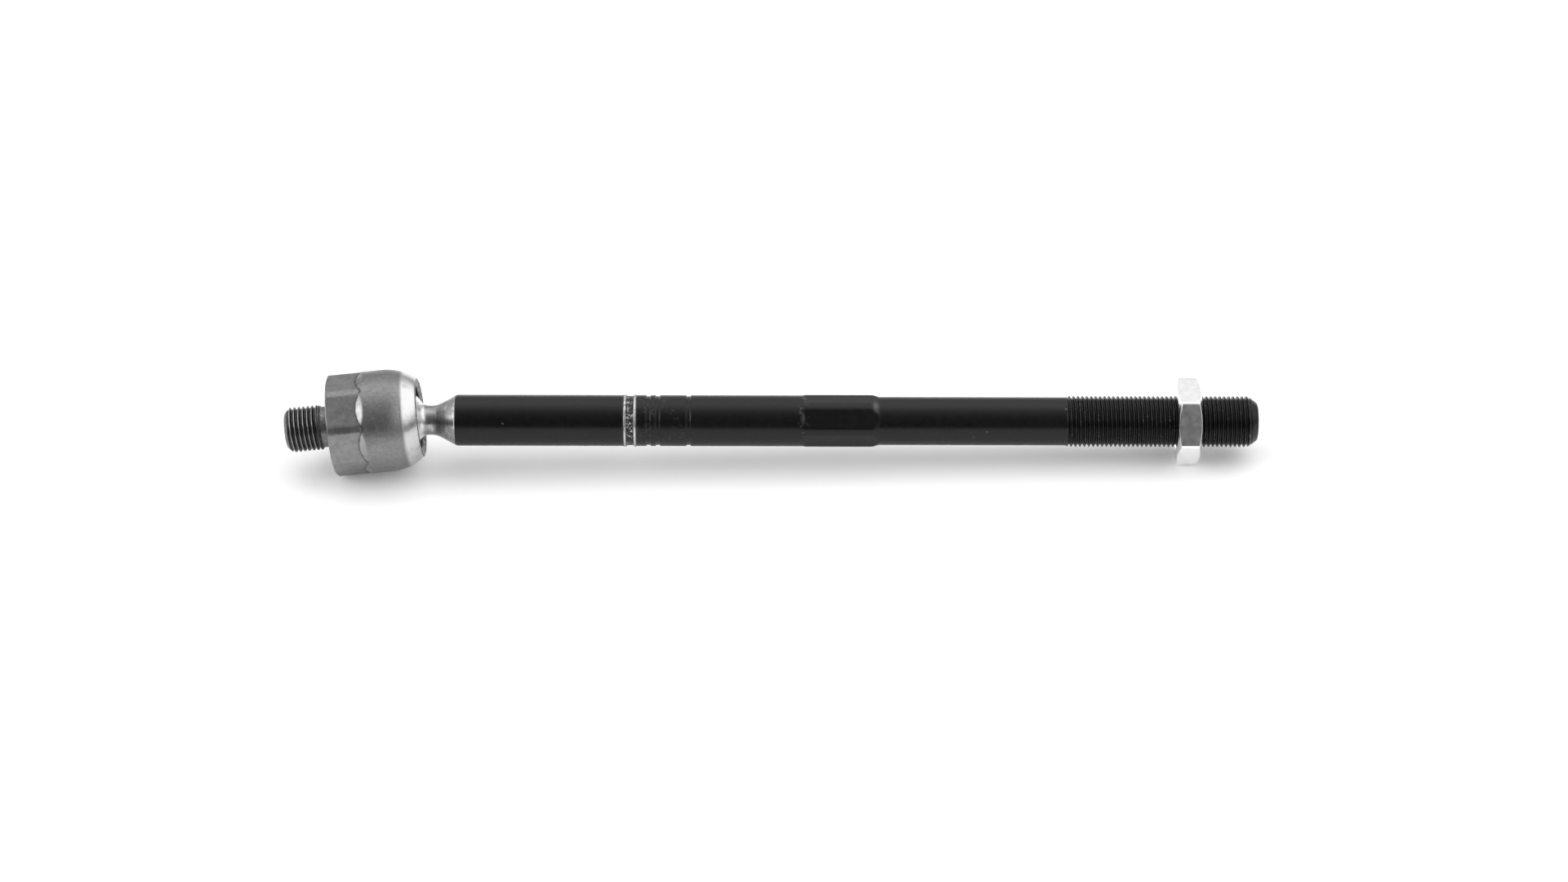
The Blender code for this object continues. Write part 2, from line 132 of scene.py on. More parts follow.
# One closed mesh from blocks of rings that follow each other along the profile. Where the number of columns
# changes by a whole factor, fans join the rings. A block with one column is a pole. Every block carries
# "ridge", "zone" and "mark", shares from 0 to 1 that the finishes read, and the number of its material. The
# UV map is in mm: round the axis at the ring's radius, and along it.
def ringMesh(name, blocks, axes, loop=False):
    points, along, around, starts = [], [], [], []
    shares = {"ridge": [], "zone": [], "mark": []}
    count = 0
    for block in blocks:
        rows, columns = len(block["station"]), block["columns"]
        points.append(ringPoints(block["station"], block["radius"], columns, axes).reshape(-1, 3))
        for share, values in shares.items():
            values.append(np.broadcast_to(block.get(share, 0.0), (rows, columns)).reshape(-1))
        along.append(np.repeat(np.asarray(block["station"], float), columns))
        around.append(np.tile(np.arange(columns) / columns, rows))
        starts.append(count)
        count += rows * columns
    quads, triangles, quadMaterials, triangleMaterials = [], [], [], []

    # Faces from one ring to the next, given the first point of each and how many points each has.
    def join(lower, upper, lowerCount, upperCount, material):
        if lowerCount == upperCount:
            here = np.arange(lowerCount)
            after = (here + 1) % lowerCount
            quads.append(np.stack([lower + here, lower + after, upper + after, upper + here], 1))
            quadMaterials.append(np.full(lowerCount, material))
            return
        few, many = sorted((lowerCount, upperCount))
        coarse, fine = (lower, upper) if lowerCount < upperCount else (upper, lower)
        factor = many // few
        here = np.arange(many)
        near = (here + factor // 2) // factor % few
        fans = np.stack([fine + here, fine + (here + 1) % many, coarse + near], 1)
        if few > 1:
            corner = np.arange(few)
            meet = (corner * factor + factor - factor // 2) % many
            between = np.stack([fine + meet, coarse + (corner + 1) % few, coarse + corner], 1)
            fans = np.concatenate([fans, between])
        if coarse == lower:
            fans = fans[:, ::-1]
        triangles.append(fans)
        triangleMaterials.append(np.full(len(fans), material))

    for number, block in enumerate(blocks):
        rows, columns = len(block["station"]), block["columns"]
        base = starts[number] + np.arange(rows - 1)[:, None] * columns
        here = np.arange(columns)[None, :]
        after = (here + 1) % columns
        quads.append(np.stack([base + here, base + after, base + columns + after, base + columns + here],
                              -1).reshape(-1, 4))
        quadMaterials.append(np.full((rows - 1) * columns, block.get("material", 0)))
        following = (number + 1) % len(blocks)
        if following or loop:
            lastRow = starts[number] + (rows - 1) * columns
            join(lastRow, starts[following], columns, blocks[following]["columns"],
                 blocks[following].get("material", 0))
    quads = np.concatenate(quads)
    triangles = np.concatenate(triangles) if triangles else np.zeros((0, 3), int)
    points = np.concatenate(points)
    corners = np.concatenate([quads.reshape(-1), triangles.reshape(-1)]).astype(np.int32)
    sizes = np.concatenate([np.full(len(quads), 4), np.full(len(triangles), 3)])
    mesh = bpy.data.meshes.new(name)
    mesh.vertices.add(len(points))
    mesh.vertices.foreach_set("co", points.reshape(-1).astype(np.float32))
    mesh.loops.add(len(corners))
    mesh.loops.foreach_set("vertex_index", corners)
    mesh.polygons.add(len(sizes))
    mesh.polygons.foreach_set("loop_start", (np.cumsum(sizes) - sizes).astype(np.int32))
    numbers = np.concatenate(quadMaterials + triangleMaterials).astype(np.int32)
    mesh.polygons.foreach_set("material_index", numbers)
    mesh.update(calc_edges=True)
    for share, values in shares.items():
        mesh.attributes.new(share, "FLOAT", "POINT").data.foreach_set(
            "value", np.concatenate(values).astype(np.float32))
    along, around = np.concatenate(along), np.concatenate(around)
    turnShare = around[corners]
    owner = np.repeat(np.arange(len(sizes)), sizes)
    widest = np.zeros(len(sizes))
    np.maximum.at(widest, owner, turnShare)
    acrossSeam = (widest[owner] > 0.75) & (turnShare < 0.25)  # where a face closes the ring
    turnShare = np.where(acrossSeam, turnShare + 1.0, turnShare)
    radius = np.linalg.norm(points - ballCentre - (along * mm)[:, None] * axes[2], axis=1) / mm
    uv = np.stack([turnShare * 2 * math.pi * radius[corners], along[corners]], 1)
    mesh.uv_layers.new(name="UVMap").data.foreach_set("uv", uv.reshape(-1).astype(np.float32))
    mesh.validate()
    mesh.shade_smooth()
    piece = bpy.data.objects.new(name, mesh)
    bpy.context.scene.collection.objects.link(piece)
    return piece


# Stations along the socket's axis from the ball's centre and radii, in mm.
socket = {
    "studEnd": -37.6, "studRadius": 8.0, "studPitch": 1.566, "studStart": 0.643, "studDepth": 0.92,
    "studChamfer": 1.9, "threadEnd": -25.4, "threadRunOut": 0.7, "reliefRadius": 7.2, "shoulder": -21.3,
    "rearChamfer": (0.5, 1.1),  # along the axis and across it
    "flats": 8, "flatsEnd": -10.65, "flatRadius": 17.0, "cornerRadius": 17.9, "bodyRadius": 18.0,
    "runOut": 2.65, "runOutBulge": 0.62, "turnDegrees": -6.2, "cutEase": 0.1, "edgeEase": 0.2,
    "domeStart": -2.0, "rimStart": 4.9, "rimRise": 0.06, "rimBlend": 1.0,
    "mouth": 10.195, "mouthRadius": 13.6, "mouthEdge": 0.3,
    "lipDepth": 1.2, "throatRadius": 11.5, "throatDepth": 2.2, "throatUndercut": 0.7, "cavityRadius": 14.6,
    "columns": 432, "studColumns": 144, "rowsPerPitch": 10, "rearStep": 0.7, "runOutStep": 0.13,
    "bodyRows": 30, "rimRows": 22, "cavityRows": 24, "poleAngle": 0.03,
}


# The housing: a turned profile whose rear part is cut by eight flats. Each flat runs out to the round body on
# a slightly hollow ramp, so that it ends in a lens, and the radius is the least of the profile and the cuts.
# The dome's radius is a circle's: its own radius, less its square's root, below the body's radius. Blocks
# meet at least 0.1 mm apart, which keeps the faces between them from being slivers.
def buildSocket():
    s = socket
    angle = np.arange(s["columns"]) * 2 * math.pi / s["columns"]
    studAngle = np.arange(s["studColumns"]) * 2 * math.pi / s["studColumns"]

    rootRadius = s["studRadius"] - s["studDepth"]
    stud = profile([(s["studEnd"], 0.4, 0), (s["studEnd"], s["studRadius"] - s["studChamfer"], 0.45),
                    (s["studEnd"] + s["studChamfer"], s["studRadius"], 0.2),
                    (s["threadEnd"], s["studRadius"], 0.1),
                    (s["threadEnd"] + s["threadRunOut"], s["reliefRadius"], 0.4),
                    (s["shoulder"], s["reliefRadius"], 0.5), (s["shoulder"], s["reliefRadius"] + 1.4, 0)],
                   s["studPitch"] / s["rowsPerPitch"])
    station, base = stud[:, :1], stud[:, 1:]
    ridge = threadHeight(station, studAngle, s["studPitch"], s["studStart"])
    onThread = smoothStep(base, rootRadius - 0.1, rootRadius + 0.2)
    onThread = onThread * smoothStep(station, s["threadEnd"] + 0.5, s["threadEnd"] - 0.8)
    groove = np.minimum(base, s["studRadius"] - s["studDepth"] * (1 - ridge))
    studRadius = base + (groove - base) * onThread

    chamferLength, chamferDepth = s["rearChamfer"]
    rear = profile([(s["shoulder"], s["reliefRadius"] + 2.0, 0),
                    (s["shoulder"], s["cornerRadius"] - chamferDepth, 0.2),
                    (s["shoulder"] + chamferLength, s["cornerRadius"], 0.15),
                    (s["flatsEnd"] - 1.2, s["cornerRadius"], 0)], s["rearStep"])
    runOut = profile([(s["flatsEnd"] - 1.1, s["cornerRadius"], 0),
                      (s["flatsEnd"] + 1.3, s["cornerRadius"], 0.1),
                      (s["flatsEnd"] + 1.4, s["bodyRadius"], 0.1),
                      (s["flatsEnd"] + 3.2, s["bodyRadius"], 0)], s["runOutStep"])
    fall = s["bodyRadius"] - s["mouthRadius"]
    length = s["mouth"] - s["domeStart"]
    domeRadius = (length**2 + fall**2) / (2 * fall)

    # Rows of the dome at the given stations, which are round as the body before it begins.
    def dome(stations):
        radii = s["bodyRadius"] - domeRadius + np.sqrt(domeRadius**2 - (stations - s["domeStart"]) ** 2)
        return np.stack([stations, np.where(stations < s["domeStart"], s["bodyRadius"], radii)], 1)

    body = dome(np.linspace(s["flatsEnd"] + 3.5, s["rimStart"] - 0.12, s["bodyRows"]))
    rim = dome(np.linspace(s["rimStart"] + 0.1, s["mouth"] - s["mouthEdge"], s["rimRows"]))
    rim[:, 1] += s["rimRise"] * (1 - smoothStep(rim[:, 0], s["rimStart"] + 0.2, s["rimStart"] + 1.5))
    lip = profile([tuple(rim[-1]) + (0,), (s["mouth"], s["mouthRadius"] - s["mouthEdge"], 0.12),
                   (s["mouth"] - s["lipDepth"], s["throatRadius"], 0.3),
                   (s["mouth"] - s["throatDepth"], s["throatRadius"] + s["throatUndercut"], 0)], 0.3)[1:]
    throatAngle = math.asin(s["throatRadius"] / s["cavityRadius"])
    hollowAngle = np.linspace(throatAngle + s["poleAngle"], math.pi - s["poleAngle"], s["cavityRows"])
    hollow = s["cavityRadius"] * np.stack([np.cos(hollowAngle), np.sin(hollowAngle)], 1)

    # A block of rows with the flats and their ramps cut into it.
    def withFlats(path):
        station, base = path[:, :1], path[:, 1:]
        turn = math.radians(s["turnDegrees"])
        flat = sidedRadius(angle, s["flats"], turn, s["flatRadius"])
        climb = (station - s["flatsEnd"]) * (s["bodyRadius"] - s["flatRadius"]) / s["runOut"]
        ramp = sidedRadius(angle, s["flats"], turn, s["flatRadius"] + climb, s["runOutBulge"])
        cut = softMax(flat, ramp, s["cutEase"])
        return {"station": path[:, 0], "radius": softMin(base, cut, s["edgeEase"]), "columns": s["columns"],
                "zone": smoothStep(ramp - flat, -0.02, 0.06) * smoothStep(base - ramp, -0.02, 0.22),
                "ridge": smoothStep(base - cut, 0.0, 0.05),
                # mark: where the painted shade line goes, in the concave corner between a flat and its ramp
                "mark": np.exp(-((ramp - flat + 0.04) / 0.14) ** 2)}

    wide, narrow = s["columns"], s["studColumns"]
    blocks = [
        {"station": [s["studEnd"]], "radius": 0.0, "columns": 1, "material": 2},
        {"station": stud[:, 0], "radius": studRadius, "columns": narrow, "material": 2,
         "ridge": smoothStep(studRadius, rootRadius, s["studRadius"]) * onThread, "zone": onThread},
        withFlats(rear),
        withFlats(runOut),
        {"station": body[:, 0], "radius": body[:, 1:], "columns": wide},
        {"station": rim[:, 0], "radius": rim[:, 1:], "columns": wide, "material": 1,
         "ridge": smoothStep(rim[:, :1], s["rimStart"], s["rimStart"] + s["rimBlend"])},
        {"station": lip[:, 0], "radius": lip[:, 1:], "columns": wide, "material": 3},
        {"station": hollow[:, 0], "radius": hollow[:, 1:], "columns": narrow, "material": 3},
        {"station": [-s["cavityRadius"]], "radius": 0.0, "columns": 1, "material": 3},
    ]
    return ringMesh("socketHousing", blocks, socketAxes)


# Stations along the rod's axis from the ball's centre and radii, in mm.
rod = {
    "ballRadius": 12.0, "flareStart": 8.5, "flareEnd": 11.3, "flareEase": 1.5,
    "neckRadius": 5.2, "neckEnd": 15.2, "neckEase": 1.2, "coneFoot": (17.5, 6.2), "footEase": 1.0,
    "coatStart": (22.4, 8.78), "coneTop": (22.69, 8.93), "coneEnd": 23.1, "rodRadius": 9.0,
    "band": (81.65, 85.95), "ridgeWidth": 0.8, "ridgeHeight": 0.25, "bandDepth": 0.3, "bandLump": 0.05,
    "grooves": (90.3, 93.6, 104.4), "grooveWidth": 1.9, "grooveFloor": 0.9, "grooveDepth": 0.4,
    "grip": (145.4, 170.9), "gripFlats": 6, "gripRadius": 8.5, "gripCorner": 9.15, "gripRunOut": 2.0,
    "gripTurnDegrees": -10.2, "runOutBulge": 0.62, "cutEase": 0.08, "edgeEase": 0.12,
    "taper": (169.2, 171.5), "shankRadius": 8.5,
    "thread": 237.3, "threadRadius": 9.0, "pitch": 1.562, "threadStart": 0.203, "threadDepth": 0.9,
    "tipChamfer": 3.3, "tipRadius": 7.0, "end": 304.75,
    "columns": 132, "ballRows": 30, "poleAngle": 0.03, "neckStep": 0.35, "rowsPerPitch": 8,
    "scuffedTo": 110.0, "scuffing": 0.35, "highlightDegrees": 198,
}


# The rod: ball, neck, cone, coated rod, marked band, grooves, grip, shank and thread on one turned profile.
# The neck flares out to the ball. The grip's radius is the least of the profile and six flats, which run out
# on ramps like those of the housing.
def buildRod():
    r = rod
    angle = np.arange(r["columns"]) * 2 * math.pi / r["columns"]
    flareAngle = math.acos(r["flareStart"] / r["ballRadius"])
    ballAngle = np.linspace(math.pi - r["poleAngle"], flareAngle, r["ballRows"])
    ball = r["ballRadius"] * np.stack([np.cos(ballAngle), np.sin(ballAngle)], 1)
    neck = profile([tuple(ball[-1]) + (0,), (r["flareEnd"], r["neckRadius"], r["flareEase"]),
                    (r["neckEnd"], r["neckRadius"], r["neckEase"]), r["coneFoot"] + (r["footEase"],),
                    r["coatStart"] + (0,)], r["neckStep"])[1:]

    middle, ridge, floor = r["rodRadius"], r["rodRadius"] + r["ridgeHeight"], r["rodRadius"] - r["bandDepth"]
    start, end, width = r["band"][0], r["band"][1], r["ridgeWidth"]
    inner = profile([r["coatStart"] + (0,), r["coneTop"] + (0.15,), (r["coneEnd"], middle, 0.1),
                     (start - 0.7, middle, 0)], 6.0)
    inner = np.concatenate([inner, [(start - 0.6, middle)]])
    band = profile([(start - 0.5, middle, 0), (start - 0.15, middle, 0.06), (start + 0.15, ridge, 0.12),
                    (start + width - 0.1, ridge, 0.15), (start + width + 0.3, floor, 0.12),
                    (end - width - 0.3, floor, 0.12), (end - width + 0.1, ridge, 0.15),
                    (end - 0.15, ridge, 0.12), (end + 0.15, middle, 0.06), (end + 0.5, middle, 0)], 0.18)
    halfBed = (end - start) / 2 - width
    onBed = smoothStep(np.abs(band[:, :1] - (start + end) / 2), halfBed, halfBed - 0.35)
    lumps = np.sin(angle * 37 + band[:, :1] * 5) * np.sin(angle * 23 - band[:, :1] * 3)
    bandRadius = band[:, 1:] + r["bandLump"] * lumps * onBed
    points = [(end + 0.6, middle, 0)]
    for centre in r["grooves"]:
        low, half, flat = middle - r["grooveDepth"], r["grooveWidth"] / 2, r["grooveFloor"] / 2
        points += [(centre - half, middle, 0.08), (centre - flat, low, 0.1),
                   (centre + flat, low, 0.1), (centre + half, middle, 0.08)]
    gripStart, gripEnd = r["grip"]
    points.append((gripStart - 2.6, middle, 0))
    grooved = profile(points, 6.0)

    taperStart, taperEnd = r["taper"]
    grip = profile([(gripStart - 2.4, middle, 0), (gripStart - 0.5, middle, 0.3),
                    (gripStart + 0.2, r["gripCorner"], 0.3), (taperStart, r["gripCorner"], 0.5),
                    (taperEnd, r["shankRadius"], 0.5), (taperEnd + 1.2, r["shankRadius"], 0)], 0.6)
    turn = math.radians(r["gripTurnDegrees"])
    rise = (r["gripCorner"] - r["gripRadius"]) / r["gripRunOut"]
    keep = sidedRadius(angle, r["gripFlats"], turn, r["gripRadius"])
    for climb in ((gripStart - grip[:, :1]) * rise, (grip[:, :1] - gripEnd) * rise):
        ramp = sidedRadius(angle, r["gripFlats"], turn, r["gripRadius"] + climb, r["runOutBulge"])
        keep = softMax(keep, ramp, r["cutEase"])
    # Painted highlight: a pale spot on one corner of the grip where the taper begins, shown in the coat's
    # grey.
    paintedHighlightSpot = np.exp(-((grip[:, :1] - taperStart - 1.0) / 0.9) ** 2
                      - ((angle - math.radians(r["highlightDegrees"])) / 0.2) ** 2)
    shank = profile([(taperEnd + 1.4, r["shankRadius"], 0), (r["thread"] - 0.8, r["shankRadius"], 0)], 8.0)
    thread = profile([(r["thread"] - 0.7, r["shankRadius"], 0), (r["thread"], r["shankRadius"], 0.2),
                      (r["thread"] + 0.8, r["threadRadius"], 0.2),
                      (r["end"] - r["tipChamfer"], r["threadRadius"], 0.2),
                      (r["end"] - 0.5, r["tipRadius"], 0.3), (r["end"], r["tipRadius"] - 0.5, 0.2),
                      (r["end"], 4.0, 0)], r["pitch"] / r["rowsPerPitch"])
    station, base = thread[:, :1], thread[:, 1:]
    rootRadius = r["threadRadius"] - r["threadDepth"]
    helix = threadHeight(station, angle, r["pitch"], r["threadStart"])
    onThread = smoothStep(station, r["thread"] - 0.4, r["thread"] + 1.2)
    groove = np.minimum(base, r["threadRadius"] - r["threadDepth"] * (1 - helix))
    threadRadius = base + (groove - base) * onThread
    # Painted highlights: rings at the start of the thread and on the tip's chamfer, which the coat shows as
    # grey.
    paintedEndHighlights = (np.exp(-((station - r["thread"] + 0.1) / 0.3) ** 2)
                + np.exp(-((station - r["end"] + r["tipChamfer"]) / 0.8) ** 2))
    columns = r["columns"]
    blocks = [
        # The ball takes the dark greasy steel, whose darkness is partly painted shade for the inside of the
        # mouth.
        {"station": [-r["ballRadius"]], "radius": 0.0, "columns": 1, "material": 3},
        {"station": ball[:, 0], "radius": ball[:, 1:], "columns": columns, "material": 3},
        {"station": neck[:, 0], "radius": neck[:, 1:], "columns": columns, "material": 1,
         "mark": smoothStep(neck[:, :1], r["flareEnd"] + 0.6, r["flareEnd"] - 0.8)},
        {"station": inner[:, 0], "radius": inner[:, 1:], "columns": columns},
        {"station": band[:, 0], "radius": bandRadius, "columns": columns, "material": 2,
         "ridge": smoothStep(bandRadius, ridge - 0.16, ridge - 0.02), "zone": onBed},
        {"station": grooved[:, 0], "radius": grooved[:, 1:], "columns": columns,
         "mark": r["scuffing"] * smoothStep(grooved[:, :1], r["scuffedTo"], r["scuffedTo"] - 14.0)},
        {"station": grip[:, 0], "radius": softMin(grip[:, 1:], keep, r["edgeEase"]), "columns": columns,
         "mark": smoothStep(grip[:, :1], gripStart + 1.5, gripStart + 0.5), "zone": paintedHighlightSpot},
        {"station": shank[:, 0], "radius": shank[:, 1:], "columns": columns},
        {"station": thread[:, 0], "radius": threadRadius, "columns": columns, "mark": paintedEndHighlights,
         "ridge": smoothStep(threadRadius, rootRadius, r["threadRadius"]) * onThread},
        {"station": [r["end"]], "radius": 0.0, "columns": 1},
    ]
    return ringMesh("tieRod", blocks, rodAxes)


# Stations along the rod's axis and radii, in mm. The flats are 27 mm apart.
nut = {
    "start": 275.9, "thickness": 8.5, "flats": 6, "flatRadius": 13.5, "cornerEase": 0.9, "faceRadius": 12.85,
    "chamferDegrees": 24.0, "ringSpare": 0.6, "boreRadius": 9.06, "countersink": 0.95, "edgeEase": 0.15,
    "columns": 360, "outsideStep": 0.22, "boreStep": 1.5,
}


# The nut: its radius is the least of a hexagon with eased corners and a ring whose two faces are coned. Each
# side of the hexagon is its distance over the cosine of the angle from its middle.
def buildNut():
    n = nut
    angle = np.arange(n["columns"]) * 2 * math.pi / n["columns"]
    half = math.pi / n["flats"]
    offset = np.abs((angle + half) % (2 * half) - half)
    hexagon = softMin(n["flatRadius"] / np.cos(offset), n["flatRadius"] / np.cos(2 * half - offset),
                      n["cornerEase"])
    start, end = n["start"], n["start"] + n["thickness"]
    ring = n["flatRadius"] / math.cos(half) + n["ringSpare"]
    cone = (ring - n["faceRadius"]) * math.tan(math.radians(n["chamferDegrees"]))
    mouthRadius = n["boreRadius"] + n["countersink"]
    outside = profile([(start, mouthRadius, 0), (start, n["faceRadius"], 0.12), (start + cone, ring, 0),
                       (end - cone, ring, 0), (end, n["faceRadius"], 0.12), (end, mouthRadius, 0)],
                      n["outsideStep"])
    bore = profile([(end, mouthRadius, 0), (end - n["countersink"], n["boreRadius"], 0.1),
                    (start + n["countersink"], n["boreRadius"], 0.1), (start, mouthRadius, 0)],
                   n["boreStep"])[1:-1]
    blocks = [
        {"station": outside[:, 0], "radius": softMin(outside[:, 1:], hexagon, n["edgeEase"]),
         "columns": n["columns"]},
        {"station": bore[:, 0], "radius": bore[:, 1:], "columns": n["columns"]},
    ]
    return ringMesh("jamNut", blocks, rodAxes, loop=True)


socketPiece = buildSocket()
rodPiece = buildRod()
nutPiece = buildNut()
for piece, node, body in ((socketPiece, "socket_housing", "socket"), (rodPiece, "tie_rod", "rod"),
                          (nutPiece, "jam_nut", "nut")):
    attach(piece, body)
    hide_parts(node)
    print(piece.name, "built with", sum(len(p.vertices) - 2 for p in piece.data.polygons), "triangles")


# A colour written as sRGB hex, turned linear.
def linearColour(code):
    shares = [int(code[place:place + 2], 16) / 255 for place in (1, 3, 5)]
    return tuple(share / 12.92 if share <= 0.04045 else ((share + 0.055) / 1.055) ** 2.4
                 for share in shares) + (1.0,)


# Gives an input a number, a hex colour, or the first output in use of another node.
def connect(tree, node, name, value):
    entry = node.inputs[name] if isinstance(name, int) else next(
        entry for entry in node.inputs if entry.enabled and entry.name == name)
    if isinstance(value, bpy.types.Node):
        value = next(output for output in value.outputs if output.enabled)
    if isinstance(value, bpy.types.NodeSocket):
        tree.links.new(value, entry)
    else:
        entry.default_value = linearColour(value) if isinstance(value, str) else value


# Adds a node of a kind with its own settings and its inputs.
def addNode(tree, kind, inputs=None, **settings):
    node = tree.nodes.new("ShaderNode" + kind)
    for name, value in settings.items():
        setattr(node, name, value)
    for name, value in (inputs or {}).items():
        connect(tree, node, name, value)
    return node


# Starts a material from the typical values of its surface.
def newMaterial(name, metallic=0.0, roughness=0.5):
    material = bpy.data.materials.new(name)
    material.use_nodes = True
    tree = material.node_tree
    shader = tree.nodes["Principled BSDF"]
    shader.inputs["Metallic"].default_value = metallic
    shader.inputs["Roughness"].default_value = roughness
    return material, tree, shader


# Patches of a size in mm, in Object coordinates: 0 where the noise is under low, 1 where it is over high.
def patches(tree, size, detail=2.0, low=0.35, high=0.65):
    place = addNode(tree, "TexCoord").outputs["Object"]
    noise = addNode(tree, "TexNoise", {"Vector": place, "Scale": 1 / (size * mm), "Detail": detail})
    return addNode(tree, "MapRange", {"Value": noise.outputs["Fac"], "From Min": low, "From Max": high})


# Lines round the axis, as a turning tool or a roller leaves them, this many mm apart and some 50 times as
# long. Real ones are two or three times as close, which wouldn't show.
def turningLines(tree, spacing, low=0.35, high=0.65):
    place = addNode(tree, "UVMap", uv_map="UVMap")
    scaled = addNode(tree, "Mapping", {"Vector": place, "Scale": (0.02 / spacing, 1.0 / spacing, 1.0)})
    noise = addNode(tree, "TexNoise", {"Vector": scaled, "Scale": 1.0, "Detail": 2.0})
    return addNode(tree, "MapRange", {"Value": noise.outputs["Fac"], "From Min": low, "From Max": high})


# Presses heights from 0 to 1 into the surface, each as deep as given in mm.
def emboss(tree, shader, *heights):
    normal = None
    for height, depth in heights:
        bump = addNode(tree, "Bump", {"Height": height, "Distance": depth * mm})
        if normal:
            connect(tree, bump, "Normal", normal)
        normal = bump
    connect(tree, shader, "Normal", normal)


# Forged steel, shot blasted: dull mid grey, mottled and finely dented. The dents are drawn some three times
# as coarse as real ones, so that they show. The milled flats are plainer, the cutter leaves the lens at the
# end of each flat brighter, and a broken dark line of painted shade lies in the concave corner between the
# two.
def shotBlastedSteel():
    material, tree, shader = newMaterial("forgedSteelShotBlasted", metallic=1.0)
    onFlat = addNode(tree, "Attribute", attribute_name="ridge").outputs["Fac"]
    onLens = addNode(tree, "Attribute", attribute_name="zone").outputs["Fac"]
    cornerShadeMask = addNode(tree, "Attribute", attribute_name="mark").outputs["Fac"]
    body = addNode(tree, "Mix", {"Factor": patches(tree, 1.1, 4.0), "A": "#7c7c7c", "B": "#888888"},
                   data_type="RGBA")
    milled = addNode(tree, "Mix", {"Factor": patches(tree, 2.0, 4.0), "A": "#7e7e7e", "B": "#8c8c8c"},
                     data_type="RGBA")
    colour = addNode(tree, "Mix", {"Factor": onFlat, "A": body, "B": milled}, data_type="RGBA")
    flecks = addNode(tree, "Math", {0: patches(tree, 0.6, low=0.6, high=0.72), 1: 0.35},
                     operation="MULTIPLY")
    colour = addNode(tree, "Mix", {"Factor": flecks, "A": colour, "B": "#a4a4a4"}, data_type="RGBA")
    lens = addNode(tree, "Mix", {"Factor": patches(tree, 2.4, 4.0), "A": "#868686", "B": "#a0a0a0"},
                   data_type="RGBA")
    colour = addNode(tree, "Mix", {"Factor": onLens, "A": colour, "B": lens}, data_type="RGBA")
    broken = addNode(tree, "MapRange", {"Value": patches(tree, 1.8, 3.0), "To Min": 0.3, "To Max": 0.85})
    # Painted shade: the corner line is darkened towards #303030, broken into patches.
    paintedCornerShade = addNode(tree, "Math", {0: cornerShadeMask, 1: broken}, operation="MULTIPLY")
    colour = addNode(tree, "Mix", {"Factor": paintedCornerShade, "A": colour, "B": "#303030"}, data_type="RGBA")
    connect(tree, shader, "Base Color", colour)
    uneven = addNode(tree, "MapRange", {"Value": patches(tree, 3.0), "To Min": 0.36, "To Max": 0.44})
    connect(tree, shader, "Roughness", addNode(tree, "Mix", {"Factor": onLens, "A": uneven, "B": 0.3}))
    dents = addNode(tree, "TexVoronoi", {"Vector": addNode(tree, "TexCoord").outputs["Object"],
                                         "Scale": 1 / (0.8 * mm)}, feature="SMOOTH_F1").outputs["Distance"]
    blasted = addNode(tree, "MapRange", {"Value": onFlat, "To Min": 1.0, "To Max": 0.15})
    emboss(tree, shader, (addNode(tree, "Math", {0: dents, 1: blasted}, operation="MULTIPLY"), 0.035),
           (patches(tree, 0.35), 0.006))
    return material


# Steel rolled over the bearing: close to polished, with rolling marks round the axis and a few dull stains.
def rolledRimSteel():
    material, tree, shader = newMaterial("steelRolledRim", metallic=1.0)
    rolled = addNode(tree, "Attribute", attribute_name="ridge").outputs["Fac"]
    stains = addNode(tree, "Math", {0: patches(tree, 4.0, 3.0, low=0.56, high=0.74), 1: 0.7},
                     operation="MULTIPLY")
    polish = addNode(tree, "Mix", {"Factor": rolled, "A": "#9a9a9a", "B": "#c4c4c4"}, data_type="RGBA")
    colour = addNode(tree, "Mix", {"Factor": stains, "A": polish, "B": "#8c8c8c"}, data_type="RGBA")
    connect(tree, shader, "Base Color", colour)
    connect(tree, shader, "Roughness",
            addNode(tree, "MapRange", {"Value": rolled, "To Min": 0.36, "To Max": 0.24}))
    emboss(tree, shader, (turningLines(tree, 0.3), 0.005), (patches(tree, 1.5), 0.01))
    return material


# Rolled thread in dark steel: crests burnished bright, flanks left dark, chamfer and relief mid grey.
def rolledThreadSteel():
    material, tree, shader = newMaterial("steelRolledThread", metallic=1.0)
    ridge = addNode(tree, "Attribute", attribute_name="ridge").outputs["Fac"]
    onThread = addNode(tree, "Attribute", attribute_name="zone").outputs["Fac"]
    crest = addNode(tree, "MapRange", {"Value": ridge, "From Min": 0.86, "From Max": 0.985})
    flank = addNode(tree, "Mix", {"Factor": patches(tree, 0.8, 3.0), "A": "#3a3a3a", "B": "#565656"},
                    data_type="RGBA")
    threaded = addNode(tree, "Mix", {"Factor": crest, "A": flank, "B": "#949494"}, data_type="RGBA")
    plain = addNode(tree, "Mix", {"Factor": patches(tree, 1.0, 3.0), "A": "#6c6c6c", "B": "#868686"},
                    data_type="RGBA")
    colour = addNode(tree, "Mix", {"Factor": onThread, "A": plain, "B": threaded}, data_type="RGBA")
    connect(tree, shader, "Base Color", colour)
    connect(tree, shader, "Roughness",
            addNode(tree, "MapRange", {"Value": crest, "To Min": 0.42, "To Max": 0.26}))
    emboss(tree, shader, (patches(tree, 0.35), 0.008))
    return material


# Steel under old grease, as on the ball and on the lip inside the mouth: dull and dark. On the ball the darker
# colours are also painted shade, standing for the shade inside the mouth.
def greasySteel(name, first, second):
    material, tree, shader = newMaterial(name, metallic=1.0, roughness=0.42)
    colour = addNode(tree, "Mix", {"Factor": patches(tree, 1.5, 3.0), "A": first, "B": second},
                     data_type="RGBA")
    connect(tree, shader, "Base Color", colour)
    emboss(tree, shader, (patches(tree, 0.6), 0.02))
    return material


